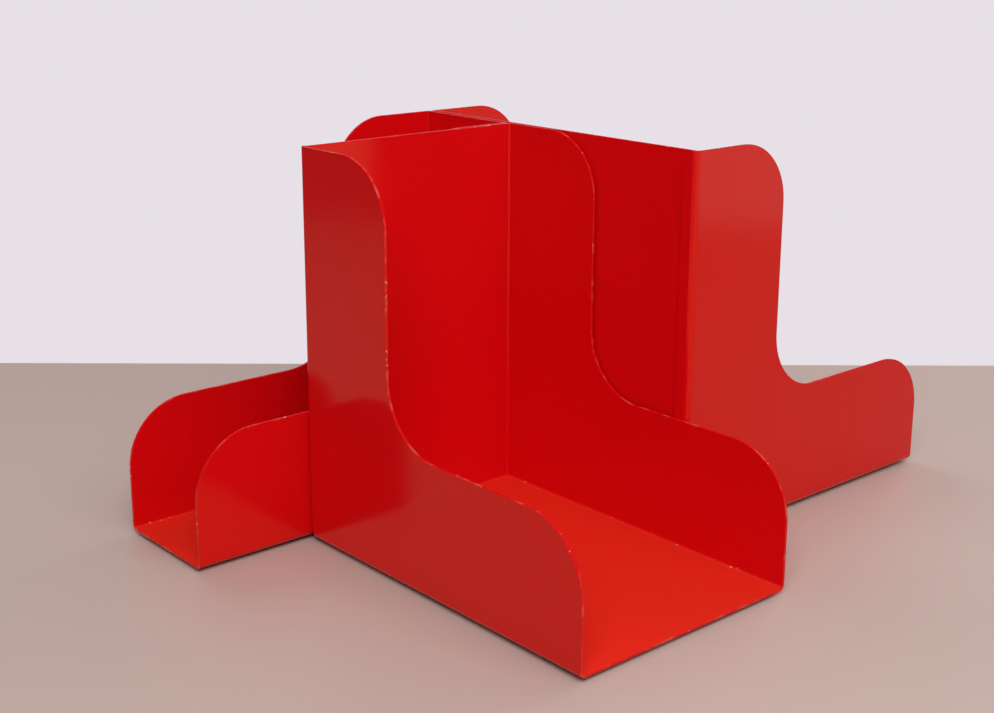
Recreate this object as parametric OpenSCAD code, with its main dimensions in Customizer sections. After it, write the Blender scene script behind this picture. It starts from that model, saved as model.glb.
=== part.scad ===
// Record storage stand, folded from sheet steel.
// Three trays of one side profile and different widths stand back to back round one common
// corner, and each opens a different way: the medium one to the front, the narrow one to the
// left and the wide one to the right, closing off the backs of the other two.
// +Z is up, +Y is to the rear. The origin lies under the middle of the stand, on the table.

/* [Stand] */
// Width of the medium tray, which opens to the front
medium_width = 200; // [120:5:300]
// Width of the narrow tray, which opens to the left
narrow_width = 100; // [70:5:180]

/* [Side profile] */
// Depth of the trays, from the rear face to the front edge
tray_depth = 296; // [260:2:340]
// Height of the upright part of the side walls, and of the back plate
tray_height = 300; // [260:2:340]
// Depth of the upright part of the side walls
upright_depth = 100; // [80:1:130]
// Height of the low part of the side walls
low_height = 100; // [80:1:130]
// Radius of the round corner on top of the upright part
top_radius = 48; // [20:1:60]
// Radius of the hollow between the upright and the low part
step_radius = 50; // [20:1:60]
// Radius of the round corner at the front of the low part
front_radius = 50; // [20:1:60]

/* [Sheet] */
// Thickness of the sheet steel
sheet = 2; // [1.5:0.5:3]
// Inner radius of the folds
fold_radius = 2.5; // [1:0.5:4]
// Width of the rear flanges and height of the floor's rear upstand
flange = 13; // [10:1:16]
// Reach of the notches in the lower rear corners past the folds that they free
relief_reach = 0.5; // [0.5:0.5:2.5]
// Gap of the mitre between a flange's lower end and the upstand
mitre_gap = 1; // [0.5:0.5:2]
// Slope in degrees of the flanges' upper ends, down from the fold at the top edge
flange_slope = 45; // [30:5:60]

/* [Back plate] */
// Leg of the weld along the back plate's sides and foot
weld = 2; // [1:0.5:3]

/* [Foot pads] */
// Diameter of the pads
pad_diameter = 16; // [10:1:20]
// Thickness of the pads
pad_thickness = 3; // [1:0.5:5]
// Distance from the pads' rims to the edges of the tray
pad_margin = 12; // [6:1:14]

/* [Hidden] */
$fn = 96;
RED = "#c8201c";
BLACK = "#1c1b1a";
// The wide tray's back covers the other two trays side by side
wide_width = medium_width + narrow_width;
// Outer radius of the folds
outer_radius = fold_radius + sheet;
// Side of the notches in the lower rear corners
relief = outer_radius + relief_reach;
// The common corner of the three trays, for an origin under the middle of the stand
corner_y = (tray_depth - narrow_width) / 2;
// Height of the sheet above the table
lift = pad_thickness;
// Reach of a cut past the face that it opens
past = 1;

// A tray is drawn with its rear face on the plane y = 0, from x = 0 to its width, opening
// towards -y, and is then turned to its place about the common corner.
module in_medium_place() {
    translate([-medium_width, corner_y, lift]) children();
}

module in_narrow_place() {
    translate([0, corner_y + narrow_width, lift]) rotate([0, 0, -90]) children();
}

module in_wide_place() {
    translate([0, corner_y - medium_width, lift]) rotate([0, 0, 90]) children();
}

// What is left of a square corner at the origin when a round of radius r is laid into it
module corner_waste(r) {
    difference() {
        square(r);
        translate([r, r]) circle(r);
    }
}

// Profile drawn as depth from the rear face and height, extruded across a width
module across(width) {
    translate([width, 0, 0]) rotate([90, 0, -90]) linear_extrude(height = width) children();
}

// Outline of the side walls: a tall upright at the rear, a low part in front of it, and an
// S-shaped edge from one to the other
module side_outline() {
    difference() {
        union() {
            square([tray_depth, low_height]);
            square([upright_depth, tray_height]);
            translate([upright_depth, low_height]) corner_waste(step_radius);
        }
        translate([upright_depth, tray_height]) rotate(180) corner_waste(top_radius);
        translate([tray_depth, low_height]) rotate(180) corner_waste(front_radius);
    }
}

// Block bounded by the tray's floor, sides and rear, moved in from the outer faces by inset,
// with its edges rounded by r where the sheet is folded. It reaches past the front and the top
// by over.
module folded_block(width, inset, r, over) {
    inner_width = width - 2 * inset;
    deep = tray_depth - inset + over;
    high = tray_height - inset + over;
    translate([inset, -inset, inset]) intersection() {
        // seen from the front: the folds between floor and sides
        rotate([90, 0, 0]) linear_extrude(height = deep) difference() {
            square([inner_width, high]);
            corner_waste(r);
            translate([inner_width, 0]) rotate(90) corner_waste(r);
        }
        // seen from above: the folds between sides and rear flanges
        linear_extrude(height = high) difference() {
            translate([0, -deep]) square([inner_width, deep]);
            rotate(-90) corner_waste(r);
            translate([inner_width, 0]) rotate(180) corner_waste(r);
        }
        // seen from the side: the fold between floor and rear upstand
        across(inner_width) difference() {
            square([deep, high]);
            corner_waste(r);
        }
    }
}

// One tray, folded from one sheet: floor, side walls, rear flanges and the floor's upstand
module tray(width) {
    difference() {
        intersection() {
            folded_block(width, 0, outer_radius, 0);
            across(width) side_outline();
        }
        folded_block(width, sheet, fold_radius, past);
        // window between the flanges and above the upstand
        translate([flange, -outer_radius, flange])
            cube([width - 2 * flange, outer_radius + past, tray_height]);
        for (side = [0, 1]) {
            translate([side * width, 0, 0]) mirror([side, 0, 0]) {
                // notch in the lower rear corner, where three folds meet
                translate([-past, -relief, -past]) cube([relief + past, relief + past, relief + past]);
                // mitre from the notch to the corner of the window
                translate([0, -relief, 0]) rotate([0, -45, 0]) translate([0, 0, -mitre_gap / 2])
                    cube([(flange + past) * sqrt(2), relief + past, mitre_gap]);
                // upper end of the flange, sloping down from the fold at the top edge
                translate([outer_radius, -outer_radius, tray_height]) rotate([0, flange_slope, 0])
                    cube([flange / cos(flange_slope), outer_radius + past, flange]);
            }
        }
    }
}

// Flat sheet inside the tray, lying against the rear flanges and the upstand, together with the
// dressed weld that joins its sides and foot to the walls and the floor
module back_plate(width) {
    face = 2 * sheet;
    reach = face + weld;
    intersection() {
        folded_block(width, sheet, fold_radius, 0);
        difference() {
            translate([0, -reach, 0]) cube([width, reach, tray_height]);
            intersection() {
                // seen from above: the sheet's face between the welds at its sides
                linear_extrude(height = tray_height + past) polygon([
                    [sheet, -reach - past], [sheet, -reach], [sheet + weld, -face],
                    [width - sheet - weld, -face], [width - sheet, -reach],
                    [width - sheet, -reach - past]
                ]);
                // seen from the side: the sheet's face above the weld at its foot
                across(width) polygon([
                    [reach + past, sheet], [reach, sheet], [face, sheet + weld],
                    [face, tray_height + past], [reach + past, tray_height + past]
                ]);
            }
        }
    }
}

// Four round pads under the corners of a tray's floor
module foot_pads(width) {
    inset = pad_margin + pad_diameter / 2;
    for (x = [inset, width - inset], y = [-inset, inset - tray_depth]) {
        translate([x, y, -pad_thickness]) cylinder(d = pad_diameter, h = pad_thickness);
    }
}

module medium_tray() {
    color(RED) in_medium_place() tray(medium_width);
}

module medium_back_plate() {
    color(RED) in_medium_place() back_plate(medium_width);
}

module medium_foot_pads() {
    color(BLACK) in_medium_place() foot_pads(medium_width);
}

module narrow_tray() {
    color(RED) in_narrow_place() tray(narrow_width);
}

module narrow_back_plate() {
    color(RED) in_narrow_place() back_plate(narrow_width);
}

module narrow_foot_pads() {
    color(BLACK) in_narrow_place() foot_pads(narrow_width);
}

module wide_tray() {
    color(RED) in_wide_place() tray(wide_width);
}

module wide_back_plate() {
    color(RED) in_wide_place() back_plate(wide_width);
}

module wide_foot_pads() {
    color(BLACK) in_wide_place() foot_pads(wide_width);
}

medium_tray();
medium_back_plate();
medium_foot_pads();
narrow_tray();
narrow_back_plate();
narrow_foot_pads();
wide_tray();
wide_back_plate();
wide_foot_pads();
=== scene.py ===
"""Record storage stand: three folded trays in red stoving lacquer, back to back round one
common corner, with black rubber pads under their floors."""

import math

import bmesh
import bpy
import numpy as np
from mathutils import Matrix, Vector


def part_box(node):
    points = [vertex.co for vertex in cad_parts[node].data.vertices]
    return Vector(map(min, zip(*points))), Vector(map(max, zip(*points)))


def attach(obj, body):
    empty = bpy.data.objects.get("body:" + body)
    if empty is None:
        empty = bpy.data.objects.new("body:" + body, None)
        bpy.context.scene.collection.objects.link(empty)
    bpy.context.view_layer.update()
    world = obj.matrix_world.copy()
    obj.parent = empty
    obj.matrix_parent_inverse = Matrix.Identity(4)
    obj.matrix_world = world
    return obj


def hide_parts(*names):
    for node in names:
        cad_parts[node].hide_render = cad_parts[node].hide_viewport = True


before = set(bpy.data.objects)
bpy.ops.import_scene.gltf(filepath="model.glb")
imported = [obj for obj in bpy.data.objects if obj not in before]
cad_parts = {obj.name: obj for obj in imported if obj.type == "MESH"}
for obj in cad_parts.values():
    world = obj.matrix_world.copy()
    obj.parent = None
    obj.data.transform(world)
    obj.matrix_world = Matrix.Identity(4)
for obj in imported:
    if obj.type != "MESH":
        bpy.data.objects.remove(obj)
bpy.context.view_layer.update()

# --------------------------------------------------------------------------------------------
# Trays. Each is folded from one sheet of 2 mm steel: a floor, two side walls with an S-shaped
# front edge, a flange at the rear of each wall, and an upstand at the rear of the floor. The
# cut edges are deburred before the stand is lacquered.
# --------------------------------------------------------------------------------------------

# Sizes of trays and back plates are in millimetres
WIDTHS = {"medium": 200.0, "narrow": 100.0}
WIDTHS["wide"] = WIDTHS["medium"] + WIDTHS["narrow"]  # its back covers the other two
SHEET = 2.0
FOLD = 4.5  # outer radius of a fold
FLANGE = 13.0
SLIT = 1.0  # mitre between a flange's lower end and the upstand
END_SLOPE = 0.71  # cosine of 45 degrees, by which the flanges' upper ends slope down
DEPTH, HEIGHT = 296.0, 300.0
UPRIGHT, LOW = 100.0, 100.0  # depth of a side wall's upright part, height of its low part
TOP_ROUND = 48.0  # radius of the round corner on top of the upright
ROUND = 50.0  # radius of the hollow in front of it and of the front corner
BURR = 0.3  # radius of the deburred cut edges
# Distances from a cut edge at which the mesh has a line, so that wear and the painted edge
# highlight can follow the edge
BAND = np.array([0.0, 0.5, 1.0, 2.0, 4.0, 6.0])
ARC_STEPS = 24
TURN = np.radians(np.linspace(0, 90, 9))  # angles at which a fold or a fillet has a line
SHARP = math.radians(50)  # an edge that turns further than this is a corner and not a round
SAME_POINT = 2e-6  # points of two grids that lie this near, in metres, are one


def arc(middle, radius, start, stop):
    """Points on a circle and the unit vectors to its middle: for evenly spread angles, the
    middle plus the radius times the angle's cosine and sine."""
    angle = np.radians(np.linspace(start, stop, ARC_STEPS + 1))
    out = np.stack([np.cos(angle), np.sin(angle)], 1)
    return np.hstack([middle + radius * out, -out])


def line(start, stop, inward, steps):
    """Evenly spread points from start to stop, each with the same vector into the sheet."""
    t = np.linspace(0, 1, steps + 1)[:, None]
    points = (1 - t) * np.array(start) + t * np.array(stop)
    return np.hstack([points, np.broadcast_to(np.array(inward, float), points.shape)])


def side_edge():
    """The side wall's free edge as depth from the rear face, height, and the unit vector into
    the sheet: along the top, round its corner, down, round the hollow, forwards along the low
    part, round its corner and down the front to the floor's fold."""
    hollow = arc((UPRIGHT + ROUND, LOW + ROUND), ROUND, 180, 270)
    hollow[:, 2:] *= -1
    runs = [
        line((FOLD, HEIGHT), (UPRIGHT - TOP_ROUND, HEIGHT), (0, -1), 3),
        arc((UPRIGHT - TOP_ROUND, HEIGHT - TOP_ROUND), TOP_ROUND, 90, 0)[1:],
        line((UPRIGHT, HEIGHT - TOP_ROUND), (UPRIGHT, LOW + ROUND), (-1, 0), 5)[1:-1],
        hollow,
        line((UPRIGHT + ROUND, LOW), (DEPTH - ROUND, LOW), (0, -1), 5)[1:-1],
        arc((DEPTH - ROUND, LOW - ROUND), ROUND, 90, 0),
        line((DEPTH, LOW - ROUND), (DEPTH, FOLD), (-1, 0), 4)[1:],
    ]
    return np.vstack(runs)


def spread(low, high, steps):
    """Evenly spread values from low to where the band begins, and the band's lines up to high."""
    inner = np.linspace(low, high - BAND[-1], steps + 1)
    return np.concatenate([inner, (high - BAND[:-1])[::-1]])


def slit_end(across):
    """Where a flange or the upstand begins beyond its mitre: at the fold's outer radius, or
    beyond the diagonal by half the slit, measured along the edge."""
    return np.maximum(FOLD, across + SLIT / math.sqrt(2))


def rear_panel(knots, over, low, high):
    """Rear fold and flange as a grid: over gives distance from the outer face and depth from
    the rear one, and each line across runs from low to high at that distance."""
    share = (knots - knots[0]) / (knots[-1] - knots[0])
    along = low[:, None] + share * (high - low)[:, None]
    gone, depth = (np.broadcast_to(c[:, None], along.shape) for c in over.T)
    return gone, depth, along


def tray_panels(width):
    """Outer skin of one tray as grids of (across, depth, height, distance to the cut edge), in
    millimetres, and the many-sided fields of the side walls."""
    depths = spread(FOLD, DEPTH, 8)
    heights = spread(FOLD, HEIGHT, 7)
    columns = np.linspace(FOLD, width - FOLD, 7)
    near = np.minimum(DEPTH - depths, BAND[-1])

    def grid(*parts):
        return np.stack(np.broadcast_arrays(*parts), -1)

    panels = [grid(columns[:, None], depths, 0.0, near)]
    # rear fold, from the wall's plane into the rear plane, and then the flat to the free edge
    round_in, round_up = FOLD * (1 - np.cos(TURN)), FOLD * (1 - np.sin(TURN))
    flat = (FLANGE - BAND)[::-1]
    flat = flat[flat > FOLD]
    over = np.vstack([np.stack([round_in, round_up], 1), np.stack([flat, 0 * flat], 1)])
    gone, depth, up = rear_panel(
        heights, over, slit_end(over[:, 0]), HEIGHT - np.maximum(over[:, 0] - FOLD, 0)
    )
    # the free edges of flange and upstand lie against the back plate, out of reach of wear and of
    # the painted edge highlight, which leaves the flange's upper end
    slope = np.where(gone > FOLD, END_SLOPE, 1.0)
    top_gap = (HEIGHT - np.maximum(gone - FOLD, 0) - up) * slope
    flange_gap = np.minimum(top_gap, BAND[-1])
    rise, rise_depth, cross = rear_panel(
        columns, over, slit_end(over[:, 0]), width - slit_end(over[:, 0])
    )
    panels.append(grid(cross, rise_depth, rise, BAND[-1]))
    # side walls: a band along the free edge, and one field inside it
    edge = side_edge()
    place = edge[:, None, :2] + BAND[:, None] * edge[:, None, 2:]
    lower = depths[(depths > FOLD) & (depths < DEPTH - BAND[-1])][::-1]
    upper = heights[(heights > FOLD) & (heights < HEIGHT - BAND[-1])]
    ring = np.vstack([
        place[:, -1],
        np.stack([lower, 0 * lower + FOLD], 1),
        [[FOLD, FOLD]],
        np.stack([0 * upper + FOLD, upper], 1),
    ])
    fields = []
    for side in (0, 1):
        def sided(across):
            return width - across if side else across

        panels.append(grid(sided(round_in[:, None]), depths, round_up[:, None], near))
        panels.append(grid(sided(gone), depth, up, flange_gap))
        panels.append(grid(sided(0.0), place[..., 0], place[..., 1], BAND))
        fields.append(grid(sided(0.0), ring[:, 0], ring[:, 1], BAND[-1]))
    return panels, fields


def sheet_mesh(name, points, faces, corner, across, forward):
    """Mesh of points given as (across, depth, height, distance to the cut edge): each lies at
    the corner plus its three lengths along across, forward and up."""
    axes = np.array([[*across, 0], [*forward, 0], [0, 0, 1]], float) / 1000
    mesh = bpy.data.meshes.new(name)
    mesh.from_pydata((np.array(corner) + points[:, :3] @ axes).tolist(), [], faces)
    mesh.attributes.new("edge_mm", "FLOAT", "POINT").data.foreach_set("value", points[:, 3])
    return mesh


def add_object(name, data):
    """A new object at the origin, put into the scene."""
    thing = bpy.data.objects.new(name, data)
    bpy.context.collection.objects.link(thing)
    return thing


def sheet_metal(name, panels, fields, corner, across, forward, inside):
    """Joins grids of one skin of a sheet into a piece. The skin's faces are turned away from
    inside, it is given the sheet's thickness on that side, and its cut edges are rounded off."""
    blocks, faces, start = [], [], 0
    for block in panels:
        rows, cols = block.shape[:2]
        index = start + np.arange(rows * cols).reshape(rows, cols)
        cells = np.stack([index[:-1, :-1], index[1:, :-1], index[1:, 1:], index[:-1, 1:]], -1)
        faces += cells.reshape(-1, 4).tolist()
        blocks.append(block.reshape(-1, 4))
        start += rows * cols
    for block in fields:
        faces.append(list(range(start, start + len(block))))
        blocks.append(block)
        start += len(block)
    mesh = sheet_mesh(name, np.vstack(blocks), faces, corner, across, forward)
    body = bmesh.new()
    body.from_mesh(mesh)
    bmesh.ops.remove_doubles(body, verts=body.verts, dist=SAME_POINT)
    bmesh.ops.dissolve_degenerate(body, edges=body.edges, dist=SAME_POINT / 2)
    bmesh.ops.recalc_face_normals(body, faces=body.faces)
    inside = Vector(inside)
    facing = sum(f.calc_area() * f.normal.dot(f.calc_center_median() - inside) for f in body.faces)
    if facing < 0:
        bmesh.ops.reverse_faces(body, faces=body.faces)
    body.to_mesh(mesh)
    body.free()
    mesh.shade_smooth()
    piece = add_object(name, mesh)
    wall = piece.modifiers.new("sheet thickness", "SOLIDIFY")
    wall.thickness, wall.offset, wall.use_even_offset = SHEET / 1000, -1, True
    rounding = piece.modifiers.new("deburred edges", "BEVEL")
    rounding.width, rounding.segments = BURR / 1000, 3
    rounding.limit_method, rounding.angle_limit = "ANGLE", SHARP
    rounding.miter_outer = "MITER_ARC"
    shading = piece.modifiers.new("flat faces stay flat", "WEIGHTED_NORMAL")
    shading.weight = 100
    return piece


def tray_place(node):
    """Rear corner of a tray's box, and the unit vectors across it and out of its open front."""
    low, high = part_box(node + "_tray")
    return {
        "medium": ((low.x, high.y, low.z), (1, 0), (0, -1)),
        "narrow": ((high.x, high.y, low.z), (0, -1), (-1, 0)),
        "wide": ((low.x, low.y, low.z), (0, 1), (1, 0)),
    }[node]


def inside_of(node):
    """A point inside a tray, above its floor."""
    low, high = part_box(node + "_tray")
    return (low + high) / 2


def linear(code):
    """Colour of an sRGB hex code as linear red, green and blue, with alpha 1."""
    part = np.array([int(code[i : i + 2], 16) for i in (1, 3, 5)]) / 255
    light = np.where(part <= 0.04045, part / 12.92, ((part + 0.055) / 1.055) ** 2.4)
    return (*light.tolist(), 1.0)


def add_node(tree, kind, inputs=(), **settings):
    """Adds a node, sets its own settings, and gives each named input its value or its link."""
    node = tree.nodes.new("ShaderNode" + kind)
    for name, value in settings.items():
        setattr(node, name, value)
    for name, value in dict(inputs).items():
        if isinstance(value, bpy.types.NodeSocket):
            tree.links.new(value, node.inputs[name])
        else:
            node.inputs[name].default_value = value
    return node


def empty_material(name):
    """A new material without any node, and its node tree."""
    material = bpy.data.materials.new(name)
    material.use_nodes = True
    material.node_tree.nodes.clear()
    return material, material.node_tree


# Stoving lacquer on steel: sprayed and baked, so it levels to a gloss with a faint orange peel.
# Use has dulled the floors, and their colour is drawn paler as a painted sheen of the light from
# above.
# The cut edges are drawn paler in patches, partly lacquer rubbed by handling and partly a painted
# highlight, and small chips along edges and folds show the pale primer.

# Millimetres from spot to spot in the lacquer's patterns: cloudy tone, paler patches along the
# edges, chips, smudges, orange peel and the slight waviness of the sheet
TONE, EDGE_PATCH, CHIP, SMUDGE, PEEL, WAVE = 90.0, 12.0, 3.5, 45.0, 2.2, 150.0
WAVE_HEIGHT, PEEL_HEIGHT = 0.0004, 0.000004  # metres
DULLING = 0.19  # how much rougher use has made the floors
FADING, FADED = 0.0065, 0.0085  # heights in metres between which the floors' dulling and painted sheen fade out
CLUSTER = 0.5  # how strongly the chips keep to their clusters
lacquer, tree = empty_material("red_stoving_lacquer")
place = add_node(tree, "TexCoord").outputs["Object"]
facing = add_node(tree, "SeparateXYZ", {0: add_node(tree, "NewGeometry").outputs["Normal"]})
height = add_node(tree, "SeparateXYZ", {0: place}).outputs["Z"]
edge = add_node(tree, "Attribute", attribute_name="edge_mm").outputs["Fac"]
tone = add_node(tree, "TexNoise", {"Vector": place, "Scale": 1000 / TONE, "Detail": 3.0})
edge_patch_noise = add_node(tree, "TexNoise", {"Vector": place, "Scale": 1000 / EDGE_PATCH, "Detail": 4.0})
chipping = add_node(tree, "TexNoise", {"Vector": place, "Scale": 1000 / CHIP, "Detail": 2.0})
smudges = add_node(tree, "TexNoise", {"Vector": place, "Scale": 1000 / SMUDGE, "Detail": 3.0})
# the floors are the faces that look up, 5 mm above the table; their dulling and their paler colour,
# a painted sheen of the light from above, run a little way up the folds beside them and fade there
level_face = add_node(
    tree, "MapRange", {"Value": facing.outputs["Z"], "From Min": 0.5, "From Max": 0.9}
)
near_table = add_node(
    tree, "MapRange", {"Value": height, "From Min": FADED, "From Max": FADING}
)
floor_dulling_and_sheen = add_node(
    tree,
    "Math",
    {0: level_face.outputs["Result"], 1: near_table.outputs["Result"]},
    operation="MULTIPLY",
).outputs[0]
# parts of the outermost half millimetre along the cut edges are drawn paler: partly lacquer rubbed
# by handling, partly a painted highlight where the rounded edges catch the light
at_edge = add_node(tree, "MapRange", {"Value": edge, "From Min": 0.5, "From Max": 0.05})
edge_patches = add_node(
    tree,
    "MapRange",
    {"Value": edge_patch_noise.outputs["Fac"], "From Min": 0.53, "From Max": 0.7, "To Max": 0.6},
)
worn_and_highlit_edges = add_node(
    tree, "Math", {0: at_edge.outputs["Result"], 1: edge_patches.outputs["Result"]}, operation="MULTIPLY"
).outputs[0]
# a fold faces between sideways and upward, where its normal's rise times (one less the rise) is
# high
rise_left = add_node(tree, "Math", {0: 1.0, 1: facing.outputs["Z"]}, operation="SUBTRACT")
between = add_node(
    tree, "Math", {0: facing.outputs["Z"], 1: rise_left.outputs[0]}, operation="MULTIPLY"
)
fold = add_node(tree, "MapRange", {"Value": between.outputs[0], "From Min": 0.05, "From Max": 0.2})
exposed = add_node(
    tree, "Math", {0: at_edge.outputs["Result"], 1: fold.outputs["Result"]}, operation="MAXIMUM"
)
# chips come in clusters, where the smudges' coarse noise is high as well
clustered = add_node(
    tree,
    "Math",
    {0: smudges.outputs["Fac"], 1: CLUSTER, 2: chipping.outputs["Fac"]},
    operation="MULTIPLY_ADD",
)
chip_spots = add_node(
    tree, "MapRange", {"Value": clustered.outputs[0], "From Min": 0.96, "From Max": 1.0}
)
chips = add_node(
    tree, "Math", {0: exposed.outputs[0], 1: chip_spots.outputs["Result"]}, operation="MULTIPLY"
).outputs[0]
ramp = add_node(tree, "ValToRGB", {"Fac": tone.outputs["Fac"]})
ramp.color_ramp.elements[0].color = linear("#DA0810")
ramp.color_ramp.elements[1].color = linear("#DE0B12")
red = ramp.outputs["Color"]
# floors: a painted sheen of the light from above; edges: partly rubbed lacquer, partly a painted
# highlight; chips: the pale primer
for share, colour in ((floor_dulling_and_sheen, "#E22B1D"), (worn_and_highlit_edges, "#E2685A"), (chips, "#E09C8E")):
    red = add_node(tree, "Mix", {0: share, 6: red, 7: linear(colour)}, data_type="RGBA").outputs[2]
gloss = add_node(
    tree,
    "MapRange",
    {
        "Value": smudges.outputs["Fac"],
        "From Min": 0.3,
        "From Max": 0.7,
        "To Min": 0.11,
        "To Max": 0.18,
    },
)
dulled = add_node(
    tree,
    "Math",
    {0: floor_dulling_and_sheen, 1: DULLING, 2: gloss.outputs["Result"]},
    operation="MULTIPLY_ADD",
)
peel = add_node(tree, "TexNoise", {"Vector": place, "Scale": 1000 / PEEL, "Detail": 1.0})
wave = add_node(tree, "TexNoise", {"Vector": place, "Scale": 1000 / WAVE, "Detail": 0.0})
waved = add_node(
    tree, "Bump", {"Height": wave.outputs["Fac"], "Distance": WAVE_HEIGHT, "Strength": 1.0}
)
peeled = add_node(
    tree,
    "Bump",
    {
        "Height": peel.outputs["Fac"],
        "Distance": PEEL_HEIGHT,
        "Strength": 1.0,
        "Normal": waved.outputs["Normal"],
    },
)
# clear lacquer mirrors without a colour; this warm tint is only there to match the photograph,
# whose outer walls are less blue than an untinted reflection of the pale room makes them
shader = add_node(
    tree,
    "BsdfPrincipled",
    {
        "Base Color": red,
        "Roughness": dulled.outputs[0],
        "IOR": 1.45,
        "Specular Tint": linear("#FFE29C"),
        "Normal": peeled.outputs["Normal"],
    },
)
add_node(tree, "OutputMaterial", {"Surface": shader.outputs["BSDF"]})

trays = {}
for kind, width in WIDTHS.items():
    panels, fields = tray_panels(width)
    trays[kind] = sheet_metal(
        kind + "_folded_tray", panels, fields, *tray_place(kind), inside_of(kind)
    )
    trays[kind].data.materials.append(lacquer)
    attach(trays[kind], "root")
    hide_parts(kind + "_tray")

# --------------------------------------------------------------------------------------------
# Back plates. A flat sheet of the same 2 mm steel lies inside each tray against the flanges and
# the upstand. A continuous weld, dressed to a small hollow fillet before lacquering, joins its
# sides and foot to the walls and the floor.
# --------------------------------------------------------------------------------------------

WELD = 2.0  # leg of the dressed weld
# Distances from the walls and the floor at which the mesh has a line beyond the weld, and at
# which its evenly spread lines begin
BESIDE = np.array([3.0, 5.0, 8.0])
FIELD = 12.0


def fillet(distance, leg):
    """How far a hollow quarter round stands off a face, at a distance from the wall that it
    runs into: the leg less the root of (leg squared less (leg - distance) squared)."""
    short = np.clip(leg - distance, 0, leg)
    return leg - np.sqrt(leg**2 - short**2)


def welded_sheet(name, width, corner, across, forward):
    """Closed sheet as a loop carried up from the floor to the top: its front stands off the
    plane of the sheet by the fillets, its rear is rounded into the tray's folds, and both draw
    in by a quarter round at the top edge."""
    span, top = width - 2 * SHEET, HEIGHT - SHEET
    near = np.concatenate([WELD * (1 - np.cos(TURN)), BESIDE])
    x = np.concatenate([near, np.linspace(FIELD, span - FIELD, 7), span - near])
    upper = np.linspace(FIELD, top - BESIDE[-1], 9)
    z = np.concatenate([near, upper, top - BAND[:0:-1], top - BURR * (1 - np.sin(TURN))])
    # lines that fall together are one
    x, z = np.unique(np.round(x, 6)), np.unique(np.round(z, 6))
    gone, rise = np.meshgrid(x, z, indexing="ij")
    to_wall = np.minimum(gone, span - gone)
    draw = fillet(top - rise, BURR)
    front = 2 * SHEET + np.maximum(fillet(to_wall, WELD), fillet(rise, WELD)) - draw
    inner = FOLD - SHEET
    rear = SHEET + np.maximum(fillet(to_wall, inner), fillet(rise, inner)) + draw
    loop = [np.concatenate([c, d[::-1]]) for c, d in ((gone, gone), (front, rear), (rise, rise))]
    edge = np.minimum(np.concatenate([top - rise, (top - rise)[::-1]]), BAND[-1])
    count, rows = loop[0].shape
    index = np.arange(count * rows).reshape(count, rows)
    after = np.roll(index, -1, 0)
    sides = np.stack([index[:, :-1], after[:, :-1], after[:, 1:], index[:, 1:]], -1)
    # the foot and the top are closed by faces from the front's rim to the rear's
    front_rim, rear_rim = index[: len(x), [0, -1]], index[::-1][: len(x), [0, -1]]
    ends = np.stack([front_rim[:-1], front_rim[1:], rear_rim[1:], rear_rim[:-1]], -1)
    faces = sides.reshape(-1, 4).tolist() + ends.reshape(-1, 4).tolist()
    points = np.stack([loop[0] + SHEET, loop[1], loop[2] + SHEET, edge], -1).reshape(-1, 4)
    mesh = sheet_mesh(name, points, faces, corner, across, forward)
    body = bmesh.new()
    body.from_mesh(mesh)
    bmesh.ops.recalc_face_normals(body, faces=body.faces)
    body.to_mesh(mesh)
    body.free()
    mesh.shade_smooth()
    mesh.set_sharp_from_angle(angle=SHARP)
    return add_object(name, mesh)


plates = {}
for kind, width in WIDTHS.items():
    plates[kind] = welded_sheet(kind + "_back_sheet", width, *tray_place(kind))
    plates[kind].data.materials.append(lacquer)
    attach(plates[kind], "root")
    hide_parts(kind + "_back_plate")

# --------------------------------------------------------------------------------------------
# Foot pads. Four self-adhesive discs of black rubber under each floor keep the stand off the
# table and leave a thin dark gap under its edges.
# --------------------------------------------------------------------------------------------

PAD_RADIUS = 0.008  # metres
PAD_SIDES = 48
PAD_MIDDLE = 0.55  # radius of the flat middle of the lower face, as a share of the disc's


def pad_mesh(name, centres, radius, thickness, bottom):
    """Discs turned round upright axes: each is a profile of radius and height, flat below,
    rounded at the lower rim and upright at the side, carried round the axis by even angles. A
    flat middle closes it below and a flat face above."""
    angle = np.radians(np.arange(PAD_SIDES) * 360 / PAD_SIDES)
    rim = np.radians(np.linspace(-90, 0, 5))
    ease = thickness / 3
    r = np.concatenate([[PAD_MIDDLE * radius], radius - ease + ease * np.cos(rim), [radius]])
    z = np.concatenate([[0.0], ease + ease * np.sin(rim), [thickness]])
    ring = np.stack([np.outer(r, np.cos(angle)), np.outer(r, np.sin(angle))], -1)
    points, faces = [], []
    index = np.arange(len(r) * PAD_SIDES).reshape(len(r), PAD_SIDES)
    after = np.roll(index, -1, 1)
    cells = np.stack([index[:-1], after[:-1], after[1:], index[1:]], -1).reshape(-1, 4)
    for number, (x, y) in enumerate(centres):
        start = number * index.size
        level = np.broadcast_to((bottom + z)[:, None, None], (*ring.shape[:2], 1))
        points.append(np.concatenate([ring + (x, y), level], -1).reshape(-1, 3))
        faces += (cells + start).tolist()
        faces.append((index[0][::-1] + start).tolist())
        faces.append((index[-1] + start).tolist())
    mesh = bpy.data.meshes.new(name)
    mesh.from_pydata(np.vstack(points).tolist(), [], faces)
    mesh.shade_smooth()
    piece = add_object(name, mesh)
    shading = piece.modifiers.new("flat faces stay flat", "WEIGHTED_NORMAL")
    shading.weight = 100
    return piece


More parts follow.
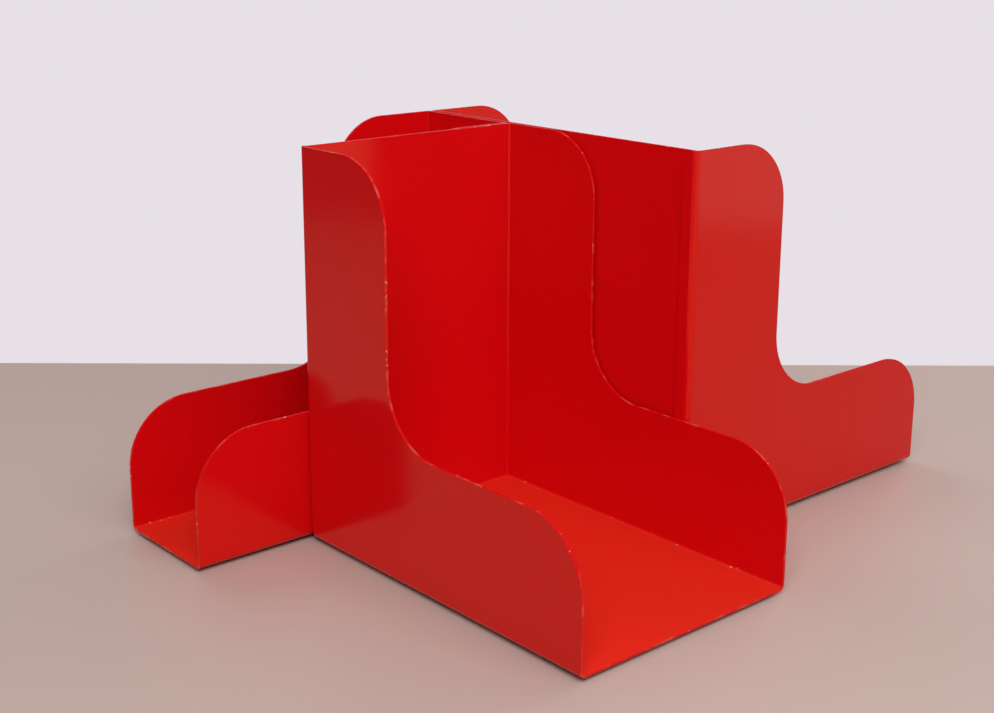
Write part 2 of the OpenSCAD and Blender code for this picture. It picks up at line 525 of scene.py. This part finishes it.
# Black rubber, die-cut from sheet: matt, with a fine grain of about 0.1 mm, which is drawn
# coarser so that it shows.
GRAIN, GRAIN_HEIGHT = 0.8, 0.00005  # millimetres from spot to spot, and metres
rubber, tree = empty_material("black_rubber")
place = add_node(tree, "TexCoord").outputs["Object"]
grain = add_node(tree, "TexNoise", {"Vector": place, "Scale": 1000 / GRAIN, "Detail": 2.0})
grained = add_node(tree, "Bump", {"Height": grain.outputs["Fac"], "Distance": GRAIN_HEIGHT})
shader = add_node(
    tree,
    "BsdfPrincipled",
    {
        "Base Color": linear("#1C1B1A"),
        "Roughness": 0.7,
        "IOR": 1.5,
        "Normal": grained.outputs["Normal"],
    },
)
add_node(tree, "OutputMaterial", {"Surface": shader.outputs["BSDF"]})
for kind in WIDTHS:
    low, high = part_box(kind + "_foot_pads")
    centres = [
        (x, y)
        for x in (low.x + PAD_RADIUS, high.x - PAD_RADIUS)
        for y in (low.y + PAD_RADIUS, high.y - PAD_RADIUS)
    ]
    pads = pad_mesh(kind + "_rubber_pads", centres, PAD_RADIUS, high.z - low.z, low.z)
    pads.data.materials.append(rubber)
    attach(pads, "root")
    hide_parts(kind + "_foot_pads")

# --------------------------------------------------------------------------------------------
# Table. A plain pale top that ends behind the stand; it is not part of the object.
# --------------------------------------------------------------------------------------------

VIEW_AZIMUTH = math.radians(-41.2)
# the camera's line of sight on the table, and the direction to its right
ahead = np.array([-math.sin(VIEW_AZIMUTH), math.cos(VIEW_AZIMUTH)])
aside = np.array([ahead[1], -ahead[0]])
# the stand's common corner
meeting = np.array([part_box("medium_tray")[1].x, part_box("medium_tray")[1].y])
# Metres from there to the far edge, which runs a little askew, to the near edge and to the sides
LEFT_BEHIND, RIGHT_BEHIND = 0.33, 0.345
TOP_BEFORE, TOP_ASIDE, TOP_THICK = 1.1, 1.4, 0.03
corners = [
    (*(meeting + u * ahead + v * aside), z)
    for z in (0.0, -TOP_THICK)
    for u, v in (
        (LEFT_BEHIND, -TOP_ASIDE),
        (-TOP_BEFORE, -TOP_ASIDE),
        (-TOP_BEFORE, TOP_ASIDE),
        (RIGHT_BEHIND, TOP_ASIDE),
    )
]
slab = bpy.data.meshes.new("table_top")
slab.from_pydata(
    corners,
    [],
    [(0, 1, 2, 3), (7, 6, 5, 4), (0, 4, 5, 1), (1, 5, 6, 2), (2, 6, 7, 3), (3, 7, 4, 0)],
)
table_top = add_object("table_top", slab)
# Pale laminate, pressed on a board: even in colour and half matt, so it takes soft shadows.
laminate, tree = empty_material("pale_laminate")
shader = add_node(
    tree, "BsdfPrincipled", {"Base Color": linear("#C2ADA6"), "Roughness": 0.45, "IOR": 1.45}
)
add_node(tree, "OutputMaterial", {"Surface": shader.outputs["BSDF"]})
slab.materials.append(laminate)

# --------------------------------------------------------------------------------------------
# Light. A pale studio gives soft light from above and all round, and four broad soft lamps give
# the faces to the front, the right and the rear a little more.
# --------------------------------------------------------------------------------------------

REAR_LEFT, FRONT_RIGHT = 0.1, 1.05  # how bright the mirrored room is on either side
OVERHEAD = 0.15  # and its ceiling
DOME = 0.36  # strength of the soft light from above
world = bpy.data.worlds.new("pale_room")
bpy.context.scene.world = world
world.use_nodes = True
tree = world.node_tree
tree.nodes.clear()
path = add_node(tree, "LightPath")
seen = add_node(
    tree,
    "Math",
    {0: path.outputs["Is Camera Ray"], 1: path.outputs["Is Transmission Ray"]},
    operation="MAXIMUM",
)
# what the lacquer mirrors: a pale room, darker to the left and rear and dark overhead, and the
# pale wall behind
direction = add_node(tree, "TexCoord").outputs["Generated"]
to_front_right = add_node(
    tree, "VectorMath", {0: direction, 1: (ahead[0], -ahead[1], 0.0)}, operation="DOT_PRODUCT"
)
to_wall = add_node(tree, "VectorMath", {0: direction, 1: (*ahead, 0.0)}, operation="DOT_PRODUCT")
room_level = add_node(
    tree,
    "MapRange",
    {
        "Value": to_front_right.outputs["Value"],
        "From Min": -1.0,
        "To Min": REAR_LEFT,
        "To Max": FRONT_RIGHT,
    },
)
rise = add_node(tree, "SeparateXYZ", {0: direction}).outputs["Z"]
overhead = add_node(
    tree,
    "MapRange",
    {"Value": rise, "From Min": 0.0, "From Max": 0.2},
    interpolation_type="SMOOTHSTEP",
)
wall_share = add_node(
    tree,
    "MapRange",
    {"Value": to_wall.outputs["Value"], "From Min": 0.5, "From Max": 0.9},
    interpolation_type="SMOOTHSTEP",
)
shown = add_node(tree, "Background", {"Color": linear("#E7E1E7"), "Strength": 1.0})
room = add_node(
    tree, "Background", {"Color": linear("#F0E8F1"), "Strength": room_level.outputs["Result"]}
)
around = add_node(
    tree,
    "MixShader",
    {0: wall_share.outputs["Result"], 1: room.outputs[0], 2: shown.outputs[0]},
)
ceiling = add_node(tree, "Background", {"Color": linear("#F0E8F1"), "Strength": OVERHEAD})
mirrored = add_node(
    tree, "MixShader", {0: overhead.outputs["Result"], 1: around.outputs[0], 2: ceiling.outputs[0]}
)
# what lights the faces: soft light from all round above the horizon, and none from below it
dome = add_node(
    tree,
    "MapRange",
    {"Value": rise, "From Min": 0.0, "From Max": 0.5, "To Max": DOME},
    interpolation_type="SMOOTHSTEP",
)
ambient = add_node(
    tree, "Background", {"Color": linear("#F3EFEC"), "Strength": dome.outputs["Result"]}
)
unseen = add_node(
    tree,
    "MixShader",
    {0: path.outputs["Is Glossy Ray"], 1: ambient.outputs[0], 2: mirrored.outputs[0]},
)
mixed = add_node(tree, "MixShader", {0: seen.outputs[0], 1: unseen.outputs[0], 2: shown.outputs[0]})
add_node(tree, "OutputWorld", {"Surface": mixed.outputs[0]})


STAND_MIDDLE = Vector((0, 0, 0.1))


def soft_lamp(name, place, size, power):
    """A square area lamp at place, turned so that its -Z axis points at the stand's middle."""
    data = bpy.data.lights.new(name, "AREA")
    data.shape, data.size, data.energy = "SQUARE", size, power
    lamp = add_object(name, data)
    lamp.location = place
    lamp.rotation_euler = (STAND_MIDDLE - Vector(place)).to_track_quat("-Z", "Y").to_euler()
    lamp.visible_glossy = False


soft_lamp("soft_front_left", (-1.25, -1.25, 1.8), 1.3, 35.0)
soft_lamp("soft_front", (-0.1, -1.7, 1.7), 1.4, 11.4)
soft_lamp("soft_back", (0.2, 1.7, 1.8), 1.4, 10.0)
soft_lamp("soft_right", (2.0, 0.1, 1.0), 1.4, 18.0)

# --------------------------------------------------------------------------------------------
# Camera, from the front left and a little above, as in the photograph.
# --------------------------------------------------------------------------------------------

PHOTO_WIDTH, PHOTO_HEIGHT = 994, 713
FOCAL, AXIS_X, AXIS_Y = 1505.09, 497.5, 306.96  # in the photograph's pixels
CAMERA_PLACE = (-0.79722, -0.80036, 0.46189)
azimuth, elevation, roll = VIEW_AZIMUTH, math.radians(14.528), math.radians(0.2435)
back = Vector(
    (
        math.sin(azimuth) * math.cos(elevation),
        -math.cos(azimuth) * math.cos(elevation),
        math.sin(elevation),
    )
)
level = Vector((math.cos(azimuth), math.sin(azimuth), 0))
upright = back.cross(level)
right = math.cos(roll) * level + math.sin(roll) * upright
up = -math.sin(roll) * level + math.cos(roll) * upright
data = bpy.data.cameras.new("camera")
data.sensor_width = 36
data.lens = FOCAL / PHOTO_WIDTH * data.sensor_width
data.shift_x = (PHOTO_WIDTH / 2 - AXIS_X) / PHOTO_WIDTH
data.shift_y = (AXIS_Y - PHOTO_HEIGHT / 2) / PHOTO_WIDTH
data.clip_start, data.clip_end = 0.01, 100
camera = add_object("camera", data)
camera.matrix_world = Matrix.Translation(CAMERA_PLACE) @ Matrix(
    (right, up, back)
).transposed().to_4x4()
bpy.context.scene.camera = camera
bpy.context.scene.view_settings.view_transform = "Standard"
